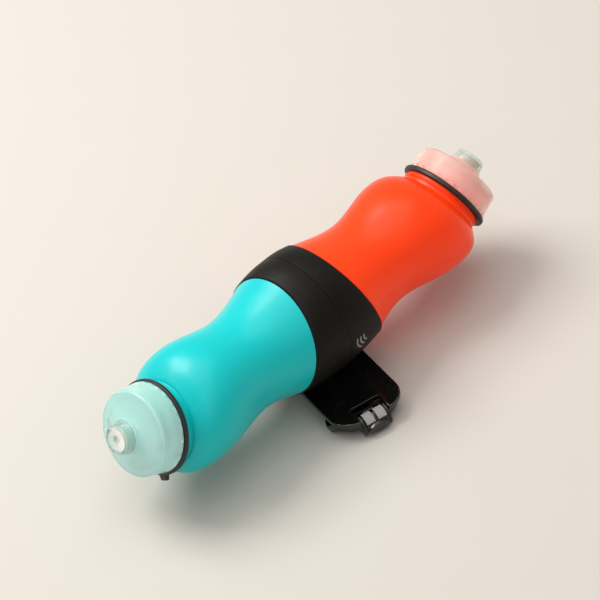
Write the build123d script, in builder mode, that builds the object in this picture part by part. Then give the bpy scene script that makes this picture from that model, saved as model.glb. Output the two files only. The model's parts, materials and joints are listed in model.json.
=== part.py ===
from build123d import *
from math import cos, pi, radians, sin
import os

# A two-chamber squeeze bottle: two wavy flasks held end to end by a wedge-shaped band, a screw cap
# with a pull nozzle on each outer end, and a belt clip that turns on a pivot under the band.
#
# Everything is modelled in the bottle's own frame: +X runs along the bottle towards the orange
# flask, +Z is up, and the clip reaches out towards -Y. The last section lays the finished bottle
# on its clip and its lower shoulder, on the plane Z = 0. All sizes are millimetres and degrees.

# ---- driving dimensions: the band ----
band_radius = 34.5            # at the parting line between the two collars
band_belly_radius = 34.2      # half way from the parting line to the band's edge
edge_radius = 32.75           # at the band's edge
edge_distance = 22.6          # from the parting line to the centre of the band's edge
edge_rise = 0.8
edge_tilt = 15.0              # lean of the band's edge, which makes the band a wedge
edge_rounding = 0.9
parting_chamfer = 0.25
web = 2.6                     # floor between a socket and the dry space inside the band
dry_space_radius = 24.0
flat_depth = 31.0             # from the bottle's axis to the flat that the clip turns on
flat_length = 54.0

# ---- driving dimensions: the flasks ----
flask_wall = 1.7
mouth_step = 0.6              # the flask stands this much inside the band's edge
plug_radius = 30.4            # the spigot of the flask that sits in the band's socket
plug_length = 5.0
cushion = 1.2
socket_clearance = 0.1
waist_distance = 48.0
waist_radius = 26.3
waist_rise = 0.4
waist_tilt = 11.0
shoulder_distance = 85.5
shoulder_radius = 31.9
shoulder_rise = 0.7
shoulder_tilt = 19.0
crown_distance = 95.3
crown_radius = 29.4
crown_rise = 1.3
crown_tilt = 21.0
crown_height = 6.3            # from the top of the dome to the middle of the neck ring
dome_top_radius = 23.6

# ---- driving dimensions: the neck, its thread and the cap ----
neck_distance = 107.0         # to the centre of the rubber ring on the neck
neck_rise = 4.3
neck_tilt = 22.0
neck_radius = 22.0
neck_bead_radius = 22.8
neck_bore = 17.4
ring_seat_radius = 21.2
ring_height = 2.6
ring_radius = 25.2
ring_drop = 0.5               # the ring is heavier below, where its tab is
tab_width = 6.0
tab_length = 2.6
tab_height = 3.6
tab_turn = {"orange": 7.0, "teal": -25.0}
lip_height = 11.4             # the flask's lip above the middle of the ring
pitch = 4.0
thread_root = 19.8
thread_depth = 1.1
thread_width = 1.7
thread_tip = 0.9
thread_clearance = 0.3
cap_base_radius = 24.0
cap_shoulder_radius = 22.8
cap_height = 12.4             # straight part of the cap's wall
cap_gap = 0.3                 # between the ring and the cap's lower rim
cap_bore = 21.3
cone_radius = 9.6
cone_height = 3.6
cone_wall = 1.8
slot_count = 28
slot_width = 1.5
slot_depth = 0.9
liner_thickness = 0.9
liner_gap = 0.05

# ---- driving dimensions: the pull nozzle ----
nozzle_radius = 8.6
nozzle_tip_radius = 7.5
nozzle_height = 6.0
nozzle_rim = 1.3
nozzle_hole = 2.2
nozzle_lip = 0.6
base_ring_height = 1.3
spigot_radius = 6.2
spigot_wall = 1.4
spigot_height = 4.0
bead_height = 0.5
bead_depth = 0.22
slide_clearance = 0.06
stopper_radius = 2.7
spoke_width = 1.2

# ---- driving dimensions: screws and pivot ----
screw_circle = 27.4
screw_radius = 1.5
screw_head_radius = 2.6
screw_head_height = 2.0
screw_half_length = 8.0
screw_socket = 1.2            # half the width of the hexagon in the screw's head
hole_clearance = 0.05
head_clearance = 0.3
pivot_offset = 2.5            # the pivot stands a little towards the orange flask
pivot_radius = 5.0
pivot_flange_radius = 8.0
pivot_flange_height = 2.0
pivot_wall = 4.0              # of the band, between the pivot's flange and the flat
washer_radius = 9.0
washer_height = 0.8           # friction washer between the band and the clip
retainer_radius = 7.5
retainer_height = 1.2
pivot_screw_radius = 1.6
pivot_screw_length = 9.0
pivot_head_radius = 4.0
pivot_head_height = 2.0

# ---- driving dimensions: the belt clip ----
clip_turn = 13.0              # how far the clip is turned from square, as it lies
clip_width = 41.6
clip_reach = 57.6             # from the pivot to the clip's outer end
clip_heel = 10.0
clip_corner = 12.0
heel_corner = 9.5
plate_thickness = 2.4
rim_width = 1.0
rim_height = 0.4
notch_width = 17.2
notch_depth = 11.0
notch_corner = 1.4
belt_gap = 6.6
jaw_thickness = 2.6
jaw_width = 39.8
jaw_corner = 14.0
tongue_width = 28.0
tongue_end = 34.0
jaw_heel = 8.0
jaw_setback = 0.8
jaw_tip_gap = 0.5
jaw_tip_thickness = 4.0
jaw_tip_length = 9.0
jaw_ramp = 7.0
grip_ribs = 5
grip_rib_height = 0.3
grip_rib_width = 1.0
grip_spacing = 3.0
hinge_reach = 14.0            # from the pivot to the jaw's hinge pin
hinge_depth = 6.6
hinge_pin_radius = 1.5
knuckle_radius = 3.4
knuckle_gap = 9.0
lug_thickness = 2.4
lug_gap = 0.4
spring_wire = 0.45
spring_radius = 2.45
spring_turns = 5.5
spring_leg = 5.0

# ---- driving dimensions: the latch ----
latch_width = 13.0
latch_gap = 0.4               # each side, to the ears and the jaw
latch_radius = 6.0            # of its rounded back, about the point below
latch_centre_reach = 3.8      # from the clip's outer end back to that point
latch_centre_depth = 6.9
latch_foot_depth = 8.8
latch_back_reach = 6.8
latch_pin_radius = 1.0
latch_pin_reach = 4.0
latch_pin_depth = 5.6
latch_pocket_reach = 8.4
ear_thickness = 1.2
ear_top = 1.0
ear_bottom = 10.6
ear_length = 6.4              # from its inner edge to the end of the jaw
ear_recess = 0.15             # behind the latch's rounded back
ear_corner = 2.0
pad_width = 5.2
pad_thickness = 0.6
pad_proud = 0.08
pad_rib = 1.8                 # between the two pads
pad_start = 33.0              # round the latch's back, up from level
pad_sweep = 71.0
button_width = 12.4
button_height = 5.6
button_length = 1.0
leaf_thickness = 0.4
leaf_width = 6.0
leaf_bulge = 0.5

os.makedirs("parts", exist_ok=True)


# ---- planes and axes of the bottle ----
def across(distance, rise, tilt):
    """A plane across the bottle, leaning so that its normal points up by the tilt."""
    lean = radians(tilt)
    return Plane(origin=(distance, 0, rise), x_dir=(0, 1, 0), z_dir=(cos(lean), 0, sin(lean)))


edge = across(edge_distance, edge_rise, edge_tilt)
waist = across(waist_distance, waist_rise, waist_tilt)
shoulder = across(shoulder_distance, shoulder_rise, shoulder_tilt)
crown = across(crown_distance, crown_rise, crown_tilt)
neck = across(neck_distance, neck_rise, neck_tilt)
neck_axis = Axis(neck.origin, neck.z_dir)
neck_section = Plane(neck.origin, x_dir=neck.x_dir, z_dir=-neck.y_dir)

turn = radians(clip_turn)
clip_top = -(flat_depth + washer_height)
clip = Plane(origin=(pivot_offset, 0, clip_top), x_dir=(-sin(turn), -cos(turn), 0), z_dir=(0, 0, 1))
clip_section = Plane(clip.origin, x_dir=clip.x_dir, z_dir=-clip.y_dir)

# ---- heights along the neck, from the middle of the rubber ring ----
ring_bottom = -ring_height / 2
cap_rim = ring_height / 2 + cap_gap
cap_edge = cap_rim + cap_height
liner_bottom = lip_height + liner_gap
cap_ceiling = liner_bottom + liner_thickness + liner_gap
cone_top = cap_edge + 1.0 + cone_height
nozzle_seat = cone_top + base_ring_height
nozzle_bottom = nozzle_seat + slide_clearance
nozzle_top = nozzle_bottom + nozzle_height
spigot_top = nozzle_seat + spigot_height
nozzle_ceiling = spigot_top + 0.35
dish_floor = nozzle_top - 0.6
thread_crest = thread_root + thread_depth

# ---- depths of the clip, down from the top of its plate ----
jaw_top = -(plate_thickness + belt_gap)
jaw_bottom = jaw_top - jaw_thickness
jaw_tip_top = -(plate_thickness + jaw_tip_gap)
jaw_tip_bottom = jaw_tip_top - jaw_tip_thickness
jaw_end = clip_reach - jaw_setback
ramp_end = jaw_end - jaw_tip_length
hinge = (hinge_reach, -hinge_depth)
latch_pin_at = (clip_reach - latch_pin_reach, -latch_pin_depth)


def revolved(points):
    """A sketch of the closed outline through points of (radius, height) about the neck."""
    with BuildSketch(neck_section) as outline:
        with BuildLine():
            Polyline(*points, close=True)
        make_face()
    return outline


# ---- flask, the orange one: the teal one is the same, turned end for end ----
outer_stations = [
    (edge, edge_radius - mouth_step),
    (waist, waist_radius),
    (shoulder, shoulder_radius),
    (crown, crown_radius),
    (neck.offset(-crown_height), dome_top_radius),
]
inner_stations = [
    (edge.offset(flask_wall), edge_radius - mouth_step - flask_wall),
    (waist, waist_radius - flask_wall),
    (shoulder, shoulder_radius - flask_wall),
    (crown, crown_radius - flask_wall - 0.6),
    (neck.offset(-crown_height - flask_wall - 0.4), dome_top_radius - flask_wall - 1.2),
]
neck_outline = [
    (neck_bore, -crown_height - 2.0),
    (neck_radius, -crown_height - 2.0),
    (neck_radius, ring_bottom - 2.8),
    (neck_bead_radius, ring_bottom - 2.3),
    (neck_bead_radius, ring_bottom - 1.6),
    (neck_radius, ring_bottom - 1.1),
    (neck_radius, ring_bottom),
    (ring_seat_radius, ring_bottom),
    (ring_seat_radius, ring_height / 2),
    (thread_root, ring_height / 2 + 0.4),
    (thread_root, lip_height - 0.5),
    (thread_root - 0.5, lip_height),
    (neck_bore, lip_height),
]


def thread(start, height, base, tip):
    """A ridge round the neck's axis, a right-hand helix from base radius to tip radius."""
    centre = neck.origin + neck.z_dir * start
    with BuildPart() as ridge:
        with BuildLine() as course:
            Helix(pitch=pitch, height=height, radius=base, center=centre, direction=neck.z_dir)
        foot = course.line @ 0
        outward = (foot - centre).normalized()
        reach = tip - base
        root = 0.25 if reach < 0 else -0.25
        with BuildSketch(Plane(foot, x_dir=outward, z_dir=course.line % 0)):
            with BuildLine():
                Polyline(
                    (root, -thread_width / 2),
                    (reach, -thread_tip / 2),
                    (reach, thread_tip / 2),
                    (root, thread_width / 2),
                    close=True,
                )
            make_face()
        sweep(path=course.line, is_frenet=True)
    return ridge.part


neck_shape = revolved(neck_outline)
flask_thread = thread(ring_height / 2 + 1.6, 1.5 * pitch, thread_root, thread_crest)

with BuildPart() as flask:
    for plane, radius in outer_stations:
        with BuildSketch(plane):
            Circle(radius)
    loft()
    with BuildSketch(edge.offset(-plug_length)):
        Circle(plug_radius)
    extrude(amount=plug_length)
    for plane, radius in inner_stations:
        with BuildSketch(plane):
            Circle(radius)
    loft(mode=Mode.SUBTRACT)
    with BuildSketch(edge.offset(flask_wall - plug_length)):
        Circle(plug_radius - flask_wall)
    extrude(amount=plug_length, mode=Mode.SUBTRACT)
    add(neck_shape.sketch)
    revolve(axis=neck_axis)
    with BuildSketch(neck.offset(-crown_height - 6.0)):
        Circle(neck_bore)
    extrude(amount=crown_height + 6.0, mode=Mode.SUBTRACT)
    add(flask_thread)

# ---- neck ring: a rubber ring with a tab at the bottom ----
def neck_ring(tab):
    """The rubber ring on the neck, its tab turned from straight down towards -Y."""
    down = neck.y_dir * -cos(radians(tab)) - neck.x_dir * sin(radians(tab))
    with BuildPart() as ring:
        with BuildSketch(neck.offset(ring_bottom)):
            with Locations((0, -ring_drop)):
                Circle(ring_radius)
        extrude(amount=ring_height)
        tab_plane = Plane(neck.origin + down * (ring_radius + ring_drop - 2.0), x_dir=neck.z_dir, z_dir=down)
        with BuildSketch(tab_plane):
            with Locations(((ring_height - tab_height) / 2, 0)):
                RectangleRounded(tab_height, tab_width, 1.2)
        extrude(amount=tab_length + 2.0, taper=10)
        with BuildSketch(neck.offset(-tab_height)):
            Circle(ring_seat_radius + socket_clearance)
        extrude(amount=2 * tab_height, mode=Mode.SUBTRACT)
        rims = ring.edges().filter_by(GeomType.CIRCLE).group_by(SortBy.RADIUS)[-1]
        fillet(rims, 0.9)
    return ring


# ---- screw cap with the spigot that the nozzle slides on ----
cap_outline = [
    (cap_bore, cap_rim),
    (cap_base_radius - 0.3, cap_rim),
    (cap_base_radius, cap_rim + 0.4),
    (cap_shoulder_radius, cap_edge - 0.6),
    (cap_shoulder_radius - 0.5, cap_edge + 0.4),
    (cap_shoulder_radius - 1.5, cap_edge + 1.0),
    (cone_radius + 0.6, cone_top),
    (cone_radius, cone_top + 0.2),
    (cone_radius - 0.3, nozzle_seat),
    (spigot_radius, nozzle_seat),
    (spigot_radius, spigot_top - 0.3 - bead_height),
    (spigot_radius + bead_depth, spigot_top - 0.2 - bead_height),
    (spigot_radius + bead_depth, spigot_top - 0.3),
    (spigot_radius, spigot_top),
    (spigot_radius - spigot_wall, spigot_top),
    (spigot_radius - spigot_wall, cone_top - cone_wall),
    (cap_bore - 5.0, cap_ceiling),
    (cap_bore, cap_ceiling),
]

cap_shape = revolved(cap_outline)
cap_thread_start = ring_height / 2 + 1.6 + pitch / 2
cap_thread = thread(cap_thread_start, 1.25 * pitch, cap_bore, thread_root + thread_clearance)

with BuildPart() as cap:
    add(cap_shape.sketch)
    revolve(axis=neck_axis)
    with BuildSketch(neck.offset(cone_top - cone_wall)):
        for angle in (0, 120, 240):
            with Locations(Rotation(0, 0, angle) * Pos(spigot_radius / 2, 0, 0)):
                Rectangle(spigot_radius - 0.6, spoke_width)
        Circle(stopper_radius)
    extrude(amount=1.4)
    with BuildSketch(neck.offset(cone_top - cone_wall)):
        Circle(stopper_radius)
    extrude(amount=nozzle_ceiling - slide_clearance - cone_top + cone_wall)
    with BuildSketch(neck.offset(cap_rim - 0.1)):
        with PolarLocations(cap_base_radius, slot_count):
            Rectangle(2 * slot_depth, slot_width)
    extrude(amount=slot_depth, mode=Mode.SUBTRACT)
    add(cap_thread)

with BuildPart() as liner:
    with BuildSketch(neck.offset(liner_bottom)):
        Circle(cap_bore - 0.2)
        Circle(neck_bore - 0.8, mode=Mode.SUBTRACT)
    extrude(amount=liner_thickness)

nozzle_outline = [
    (spigot_radius + slide_clearance, nozzle_bottom),
    (nozzle_radius - 0.2, nozzle_bottom),
    (nozzle_radius, nozzle_bottom + 0.3),
    (nozzle_tip_radius, nozzle_top - 0.5),
    (nozzle_tip_radius - 0.4, nozzle_top - 0.1),
    (nozzle_tip_radius - 0.7, nozzle_top),
    (nozzle_tip_radius - nozzle_rim, nozzle_top),
    (nozzle_tip_radius - nozzle_rim - 0.3, dish_floor),
    (nozzle_hole, dish_floor),
    (nozzle_hole, nozzle_ceiling),
    (spigot_radius + bead_depth + slide_clearance, nozzle_ceiling),
    (spigot_radius + bead_depth + slide_clearance, nozzle_bottom + nozzle_lip + 0.1),
    (spigot_radius + slide_clearance, nozzle_bottom + nozzle_lip),
]

nozzle_shape = revolved(nozzle_outline)

with BuildPart() as nozzle:
    add(nozzle_shape.sketch)
    revolve(axis=neck_axis)

# ---- collar: one half of the band, with a socket for the flask ----
socket_floor = edge.offset(-plug_length - cushion - socket_clearance)

with BuildPart() as collar:
    with BuildSketch(Plane.YZ):
        Circle(band_radius)
    with BuildSketch(across(edge_distance / 2, edge_rise / 2, edge_tilt / 2)):
        Circle(band_belly_radius)
    with BuildSketch(edge):
        Circle(edge_radius)
    loft()
    fillet(collar.edges().group_by(Axis.X)[-1], edge_rounding)
    chamfer(collar.edges().group_by(Axis.X)[0], parting_chamfer)
    with BuildSketch(socket_floor):
        Circle(plug_radius + socket_clearance)
    extrude(amount=2 * plug_length + 4 * cushion, mode=Mode.SUBTRACT)
    with BuildSketch(Plane.YZ):
        Circle(dry_space_radius)
    with BuildSketch(socket_floor.offset(-web)):
        Circle(dry_space_radius)
    loft(mode=Mode.SUBTRACT)
    with BuildSketch(Plane.XY.offset(-flat_depth)):
        Rectangle(flat_length, 4 * band_radius)
    extrude(amount=-band_radius, mode=Mode.SUBTRACT)
    with BuildSketch(Plane.YZ):
        with PolarLocations(screw_circle, 4, start_angle=45):
            Circle(screw_radius + hole_clearance)
    extrude(amount=screw_half_length + 0.5, mode=Mode.SUBTRACT)


def finished_collar(half, screw_side):
    """Cut the pivot's seat into a collar, and on the screws' side their head pockets."""
    with BuildPart() as finished:
        add(half)
        with BuildSketch(Plane.XY.offset(-flat_depth + pivot_wall)):
            with Locations((pivot_offset, 0)):
                Circle(pivot_flange_radius + hole_clearance)
        extrude(amount=pivot_flange_height + 2.0, mode=Mode.SUBTRACT)
        with BuildSketch(Plane.XY.offset(-band_radius)):
            with Locations((pivot_offset, 0)):
                Circle(pivot_radius + hole_clearance)
        extrude(amount=band_radius - dry_space_radius, mode=Mode.SUBTRACT)
        if screw_side:
            with BuildSketch(Plane.YZ.offset(-screw_half_length)):
                with PolarLocations(screw_circle, 4, start_angle=45):
                    Circle(screw_head_radius + head_clearance)
            extrude(amount=-edge_distance, mode=Mode.SUBTRACT)
    return finished


with BuildPart() as base_cushion:
    with BuildSketch(socket_floor.offset(socket_clearance / 2)):
        Circle(plug_radius - 1.0)
    extrude(amount=cushion)

# ---- the pieces that come once ----
with BuildPart() as collar_screws:
    with BuildSketch(Plane.YZ.offset(-screw_half_length)):
        with PolarLocations(screw_circle, 4, start_angle=45):
            Circle(screw_radius)
    extrude(amount=2 * screw_half_length)
    with BuildSketch(Plane.YZ.offset(-screw_half_length)):
        with PolarLocations(screw_circle, 4, start_angle=45):
            Circle(screw_head_radius)
    extrude(amount=-screw_head_height)
    with BuildSketch(Plane.YZ.offset(-screw_half_length - screw_head_height)):
        with PolarLocations(screw_circle, 4, start_angle=45):
            RegularPolygon(screw_socket, 6)
    extrude(amount=1.2, mode=Mode.SUBTRACT)

with BuildPart() as clip_pivot:
    with BuildSketch(Plane.XY.offset(-flat_depth + pivot_wall)):
        with Locations((pivot_offset, 0)):
            Circle(pivot_flange_radius)
    extrude(amount=pivot_flange_height)
    with BuildSketch(Plane.XY.offset(-flat_depth + pivot_wall)):
        with Locations((pivot_offset, 0)):
            Circle(pivot_radius)
    extrude(amount=-(pivot_wall + washer_height + plate_thickness + hole_clearance))
    with BuildSketch(clip.offset(-plate_thickness - hole_clearance)):
        Circle(pivot_screw_radius)
    extrude(amount=pivot_screw_length, mode=Mode.SUBTRACT)

with BuildPart() as pivot_washer:
    with BuildSketch(clip.offset(hole_clearance)):
        Circle(washer_radius)
        Circle(pivot_radius + hole_clearance, mode=Mode.SUBTRACT)
    extrude(amount=washer_height - hole_clearance)

with BuildPart() as pivot_retainer:
    with BuildSketch(clip.offset(-plate_thickness - hole_clearance)):
        Circle(retainer_radius)
        Circle(pivot_screw_radius, mode=Mode.SUBTRACT)
    extrude(amount=-retainer_height)

retainer_bottom = -plate_thickness - hole_clearance - retainer_height

with BuildPart() as pivot_screw:
    with BuildSketch(clip.offset(retainer_bottom)):
        Circle(pivot_screw_radius)
    extrude(amount=retainer_height + pivot_screw_length - 0.5)
    with BuildSketch(clip.offset(retainer_bottom)):
        Circle(pivot_head_radius)
    extrude(amount=-pivot_head_height)
    fillet(pivot_screw.edges().group_by(Axis.Z)[0], 0.7)
    with BuildSketch(clip.offset(retainer_bottom - pivot_head_height)):
        Rectangle(5.0, 1.0)
        Rectangle(1.0, 5.0)
    extrude(amount=1.1, mode=Mode.SUBTRACT)

# ---- belt clip: the plate that turns on the pivot ----
plate_middle = (clip_reach - clip_heel) / 2
tongue_half = tongue_width / 2
lug_inner = tongue_half - lug_thickness
knuckle_outer = lug_inner - lug_gap
knuckle_inner = knuckle_gap / 2
lug_radius = knuckle_radius - 0.2


def plate_outline(inset):
    """The clip plate's outline in the clip's own plane, drawn in by the inset."""
    with BuildSketch() as outline:
        with Locations((plate_middle, 0)):
            Rectangle(clip_reach + clip_heel - 2 * inset, clip_width - 2 * inset)
        fillet(outline.vertices().group_by(Axis.X)[-1], clip_corner - inset)
        fillet(outline.vertices().group_by(Axis.X)[0], heel_corner - inset)
        with Locations((clip_reach, 0)):
            Rectangle(2 * (notch_depth + inset), notch_width + 2 * inset, mode=Mode.SUBTRACT)
        notch_end = clip_reach - notch_depth - inset
        inner = outline.vertices().sort_by(lambda v: abs(v.X - notch_end) + abs(v.Y) / 1000)[:2]
        fillet(inner, notch_corner)
    return outline.sketch


def side_profile(centre, radius, top):
    """A lug in side view: a disc about the centre with a straight root up or down to the top."""
    with BuildSketch() as profile:
        with Locations(centre):
            Circle(radius)
        with Locations((centre[0], (centre[1] + top) / 2)):
            Rectangle(2 * radius, abs(top - centre[1]))
    return profile.sketch


full_outline = plate_outline(0)
field_outline = plate_outline(rim_width)
lug_profile = side_profile(hinge, lug_radius, -plate_thickness)
knuckle_profile = side_profile(hinge, knuckle_radius, jaw_top)

with BuildPart() as clip_plate:
    with BuildSketch(clip):
        add(full_outline)
    extrude(amount=-plate_thickness)
    with BuildSketch(clip):
        add(field_outline)
        Circle(washer_radius + 1.0, mode=Mode.SUBTRACT)
    extrude(amount=-rim_height, mode=Mode.SUBTRACT)
    for side in (lug_inner, -tongue_half):
        with BuildSketch(clip_section.offset(side)):
            add(lug_profile)
        extrude(amount=lug_thickness)
    with BuildSketch(clip_section):
        with Locations(hinge):
            Circle(hinge_pin_radius + hole_clearance)
    extrude(amount=tongue_width, both=True, mode=Mode.SUBTRACT)
    with BuildSketch(clip):
        Circle(pivot_radius + hole_clearance)
    extrude(amount=-plate_thickness, mode=Mode.SUBTRACT)

with BuildPart() as hinge_pin:
    with BuildSketch(clip_section):
        with Locations(hinge):
            Circle(hinge_pin_radius)
    extrude(amount=tongue_half - 0.2, both=True)

# ---- belt clip: the jaw that swings on the hinge pin ----
ear_plane = latch_width / 2 + latch_gap
pocket_wall = clip_reach - latch_pocket_reach
grip_centre = (tongue_end + hinge_reach + knuckle_radius) / 2 + grip_spacing
grip_length = grip_ribs * grip_spacing

# an ear follows the latch's rounded back and hangs a little lower than the latch
latch_centre = (clip_reach - latch_centre_reach, -latch_centre_depth)
latch_end = clip_reach - latch_centre_reach + latch_radius
ear_inner = jaw_end - ear_length
ear_radius = latch_radius - ear_recess
with BuildSketch() as ear:
    with Locations(((ear_inner + latch_centre[0] + ear_radius) / 2, -(latch_centre_depth + ear_bottom) / 2)):
        Rectangle(latch_centre[0] + ear_radius - ear_inner, ear_bottom - latch_centre_depth)
    fillet(ear.vertices().group_by(Axis.Y)[0], ear_corner)
    with Locations(latch_centre):
        Circle(ear_radius)
    with Locations(((ear_inner + latch_centre[0]) / 2, -(ear_top + latch_centre_depth) / 2)):
        Rectangle(latch_centre[0] - ear_inner, latch_centre_depth - ear_top)
    with Locations((latch_centre[0], -ear_bottom - latch_radius)):
        Rectangle(4 * latch_radius, 2 * latch_radius, mode=Mode.SUBTRACT)
ear_profile = ear.sketch

with BuildPart() as clip_jaw:
    with BuildSketch(clip_section):
        with BuildLine():
            Polyline(
                (-jaw_heel, jaw_top),
                (ramp_end - jaw_ramp, jaw_top),
                (ramp_end, jaw_tip_top),
                (jaw_end, jaw_tip_top),
                (jaw_end, jaw_tip_bottom),
                (ramp_end + 2.0, jaw_tip_bottom),
                (ramp_end + 2.0 - jaw_ramp, jaw_bottom),
                (-jaw_heel, jaw_bottom),
                close=True,
            )
        make_face()
    extrude(amount=jaw_width / 2, both=True)
    with BuildSketch(clip) as plan:
        with Locations(((tongue_end + jaw_end) / 2, 0)):
            Rectangle(jaw_end - tongue_end, jaw_width)
        fillet(plan.vertices().group_by(Axis.X)[-1], jaw_corner)
        fillet(plan.vertices().group_by(Axis.X)[0], 5.5)
        with Locations(((tongue_end + 5.0 - jaw_heel) / 2, 0)):
            RectangleRounded(tongue_end + 5.0 + jaw_heel, tongue_width, 3.0)
    extrude(amount=2 * jaw_bottom, mode=Mode.INTERSECT)
    for side in (knuckle_inner, -knuckle_outer):
        with BuildSketch(clip_section.offset(side)):
            add(knuckle_profile)
        extrude(amount=knuckle_outer - knuckle_inner)
    with BuildSketch(clip):
        with Locations((hinge_reach, tongue_half), (hinge_reach, -tongue_half)):
            Rectangle(2 * knuckle_radius + 1.6, 2 * (tongue_half - knuckle_outer))
    extrude(amount=2 * jaw_bottom, mode=Mode.SUBTRACT)
    with BuildSketch(clip.offset(jaw_top - jaw_thickness / 2)):
        with Locations((hinge_reach, 0)):
            Rectangle(2 * spring_leg + 1.6, knuckle_gap)
    extrude(amount=jaw_thickness, mode=Mode.SUBTRACT)
    with BuildSketch(clip_section):
        with Locations(hinge):
            Circle(hinge_pin_radius + hole_clearance)
    extrude(amount=tongue_width, both=True, mode=Mode.SUBTRACT)
    with BuildSketch(clip):
        with Locations((pocket_wall + clip_reach / 2, 0)):
            Rectangle(clip_reach, 2 * ear_plane)
    extrude(amount=2 * jaw_bottom, mode=Mode.SUBTRACT)
    for side in (ear_plane, -ear_plane - ear_thickness):
        with BuildSketch(clip_section.offset(side)):
            add(ear_profile)
        extrude(amount=ear_thickness)
    with BuildSketch(clip_section):
        with Locations(latch_pin_at):
            Circle(latch_pin_radius + hole_clearance)
    extrude(amount=latch_width, both=True, mode=Mode.SUBTRACT)
    with BuildSketch(clip.offset(jaw_top - 0.8)):
        with Locations((grip_centre, 0)):
            Rectangle(grip_length, 20.0)
    extrude(amount=1.0, mode=Mode.SUBTRACT)

with BuildPart() as jaw_grip:
    with BuildSketch(clip.offset(jaw_top - 0.8)):
        with Locations((grip_centre, 0)):
            Rectangle(grip_length, 20.0)
    extrude(amount=0.8)
    with BuildSketch(clip.offset(jaw_top)):
        with Locations((grip_centre, 0)):
            with GridLocations(grip_spacing, 0, grip_ribs, 1):
                Rectangle(grip_rib_width, 20.0)
    extrude(amount=grip_rib_height)

spring_start = clip.origin + clip.x_dir * hinge_reach + Vector(0, 0, -hinge_depth)
spring_length = knuckle_gap - 2 * spring_wire - 1.0
with BuildPart() as jaw_spring:
    with BuildLine() as coil:
        Helix(
            pitch=spring_length / spring_turns,
            height=spring_length,
            radius=spring_radius,
            center=spring_start - clip.y_dir * spring_length / 2,
            direction=clip.y_dir,
        )
    with BuildSketch(Plane(coil.line @ 0, z_dir=coil.line % 0)):
        Circle(spring_wire / 2)
    sweep(path=coil.line, is_frenet=True)
    for end in (0, 1):
        foot = coil.line @ end
        leg = (coil.line % end) * (2 * end - 1)
        with BuildSketch(Plane(foot, z_dir=leg)):
            Circle(spring_wire / 2)
        extrude(amount=spring_leg)

# turned a quarter so that both legs point back towards the jaw's heel
jaw_spring_part = jaw_spring.part.rotate(Axis(spring_start, clip.y_dir), 90)

# ---- latch at the clip's outer end, with two soft pads and a thumb button ----
with BuildPart() as latch_pads:
    with BuildSketch(clip_section):
        with BuildLine():
            outer = CenterArc(latch_centre, latch_radius + pad_proud, pad_start, pad_sweep)
            inner = CenterArc(latch_centre, latch_radius - pad_thickness, pad_start, pad_sweep)
            Line(outer @ 0, inner @ 0)
            Line(outer @ 1, inner @ 1)
        make_face()
    extrude(amount=pad_rib / 2 + pad_width, both=True)
    with BuildSketch(clip_section):
        with Locations(latch_centre):
            Rectangle(4 * latch_radius, 4 * latch_radius)
    extrude(amount=pad_rib / 2, both=True, mode=Mode.SUBTRACT)

with BuildPart() as latch:
    with BuildSketch(clip_section):
        with BuildLine():
            back = CenterArc(latch_centre, latch_radius, 0, pad_start + pad_sweep)
            Polyline(
                back @ 1,
                (clip_reach - latch_back_reach + 0.3, -3.0),
                (clip_reach - latch_back_reach, -6.0),
                (clip_reach - latch_back_reach + 1.0, -7.6),
                (clip_reach - 1.5, -latch_foot_depth),
                (latch_end, -latch_centre_depth - 0.6),
                back @ 0,
            )
        make_face()
    extrude(amount=latch_width / 2, both=True)
    button_origin = clip.origin + clip.x_dir * (latch_end - 1.0) - clip.z_dir * latch_centre_depth
    with BuildSketch(Plane(button_origin, x_dir=clip.y_dir, z_dir=clip.x_dir)):
        Ellipse(button_width / 2, button_height / 2)
    extrude(amount=1.0 + button_length)
    add(latch_pads.part, mode=Mode.SUBTRACT)
    with BuildSketch(clip_section):
        with Locations(latch_pin_at):
            Circle(latch_pin_radius + hole_clearance)
    extrude(amount=latch_width, both=True, mode=Mode.SUBTRACT)

with BuildPart() as latch_pin:
    with BuildSketch(clip_section):
        with Locations(latch_pin_at):
            Circle(latch_pin_radius)
    extrude(amount=ear_plane + ear_thickness, both=True)

# a leaf on the wall behind the latch pushes the latch back
with BuildPart() as latch_spring:
    with BuildSketch(clip_section):
        with BuildLine():
            Polyline(
                (pocket_wall, jaw_tip_bottom),
                (pocket_wall, jaw_tip_top - 0.6),
                (pocket_wall + leaf_thickness, jaw_tip_top - 0.6),
                (pocket_wall + leaf_thickness + leaf_bulge, -latch_pin_depth),
                (pocket_wall + leaf_thickness, jaw_tip_bottom),
                close=True,
            )
        make_face()
    extrude(amount=leaf_width / 2, both=True)

# ---- both halves: the teal one is the orange one turned end for end ----
collar_orange = finished_collar(collar.part, False)
collar_teal = finished_collar(collar.part.rotate(Axis.Z, 180), True)
ring_orange = neck_ring(tab_turn["orange"])
ring_teal = neck_ring(tab_turn["teal"])

pieces = {
    "collar_orange": collar_orange.part,
    "collar_teal": collar_teal.part,
    "collar_screws": collar_screws.part,
    "clip_pivot": clip_pivot.part,
    "pivot_washer": pivot_washer.part,
    "pivot_retainer": pivot_retainer.part,
    "pivot_screw": pivot_screw.part,
    "clip_plate": clip_plate.part,
    "hinge_pin": hinge_pin.part,
    "clip_jaw": clip_jaw.part,
    "jaw_grip": jaw_grip.part,
    "jaw_spring": jaw_spring_part,
    "latch": latch.part,
    "latch_pads": latch_pads.part,
    "latch_pin": latch_pin.part,
    "latch_spring": latch_spring.part,
    "neck_ring_orange": ring_orange.part,
    "neck_ring_teal": ring_teal.part.rotate(Axis.Z, 180),
}
halves = {
    "flask": flask,
    "base_cushion": base_cushion,
    "cap": cap,
    "cap_liner": liner,
    "nozzle": nozzle,
}
for name, half in halves.items():
    pieces[name + "_orange"] = half.part
    pieces[name + "_teal"] = half.part.rotate(Axis.Z, 180)

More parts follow.
